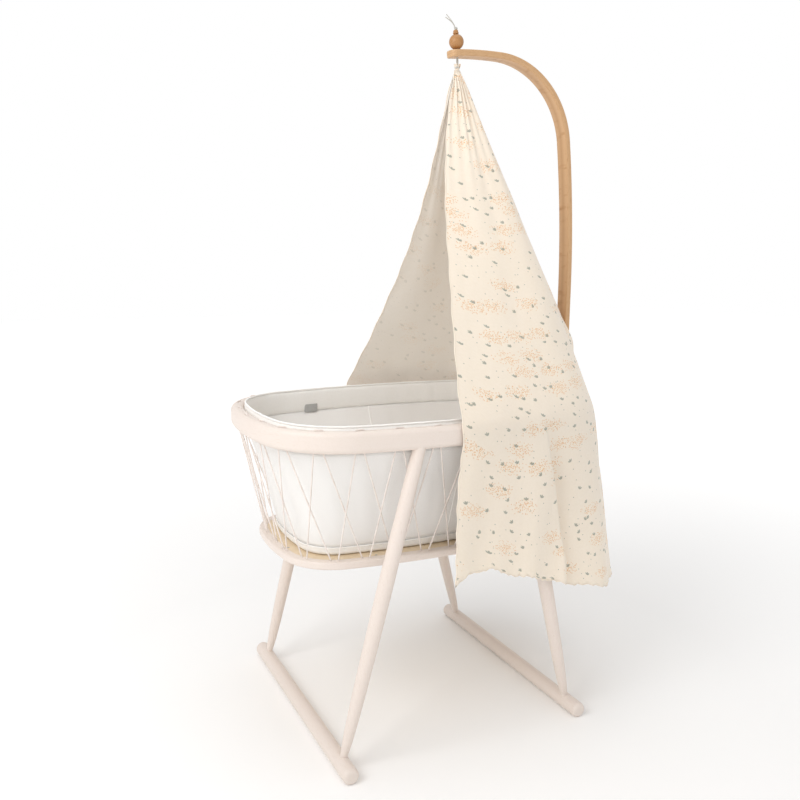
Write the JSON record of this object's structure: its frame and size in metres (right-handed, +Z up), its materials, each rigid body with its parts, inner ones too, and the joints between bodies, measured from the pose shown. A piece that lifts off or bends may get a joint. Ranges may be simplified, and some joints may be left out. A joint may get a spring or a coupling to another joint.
{
  "type": "bassinet on stand",
  "caption": "Oval hanging-basket bassinet: wooden rim laced to a smaller ring, fabric liner and mattress, splayed legs on round floor rails, bent pole with a cloth canopy.",
  "frame": {"origin": "on the floor, at the centre of the whole object's plan box", "axes": "+Z up; +X from the foot end to the head end, where the pole stands; +Y across the basket"},
  "size_m": [0.949, 0.6762, 1.6883],
  "materials": {
    "washed_wood": "satin lacquer over a pale wash",
    "beech_wood": "satin lacquer",
    "panel_wood": "sanded plywood",
    "lacing_cord": "braided cotton",
    "liner_cotton": "quilted plain weave",
    "liner_mesh": "open knitted mesh",
    "mattress_cover": "plain weave",
    "label_tape": "woven tape, blank",
    "canopy_cotton": "printed plain weave",
    "hanging_cord": "braided cotton",
    "tape_felt": "woven hook tape",
    "steel": "zinc plated",
    "brass": "plain"
  },
  "bodies": {
    "stand": {"top_rim": "washed_wood", "bottom_ring": "washed_wood", "base_panel": "panel_wood", "base_screws": "steel", "lacing_cord_a": "lacing_cord", "lacing_cord_b": "lacing_cord", "rim_tape": "tape_felt", "liner_band": "liner_cotton", "liner_piping": "liner_cotton", "liner_mesh": "liner_mesh", "liner_floor": "liner_cotton", "liner_label": "label_tape", "rail_foot_end": "washed_wood", "rail_head_end": "washed_wood", "leg_foot_near": "washed_wood", "leg_foot_far": "washed_wood", "leg_head_near": "washed_wood", "leg_head_far": "washed_wood", "leg_inserts": "brass", "rail_screws": "steel", "canopy_pole": "beech_wood", "pole_block": "washed_wood", "pole_nuts": "steel", "pole_bolts": "steel", "finial_collar": "beech_wood", "finial_ball": "beech_wood", "finial_bead": "beech_wood", "canopy_cord": "hanging_cord", "cord_tail_front": "hanging_cord", "cord_tail_back": "hanging_cord", "canopy_neck": "canopy_cotton", "canopy_cloth": "canopy_cotton"},
    "mattress": {"mattress": "mattress_cover"}
  },
  "joints": [
    {"name": "mattress_lift", "type": "slide", "parent": "stand", "child": "mattress", "axis": [0, 0, 1], "range_m": [0, 0.28]}
  ]
}
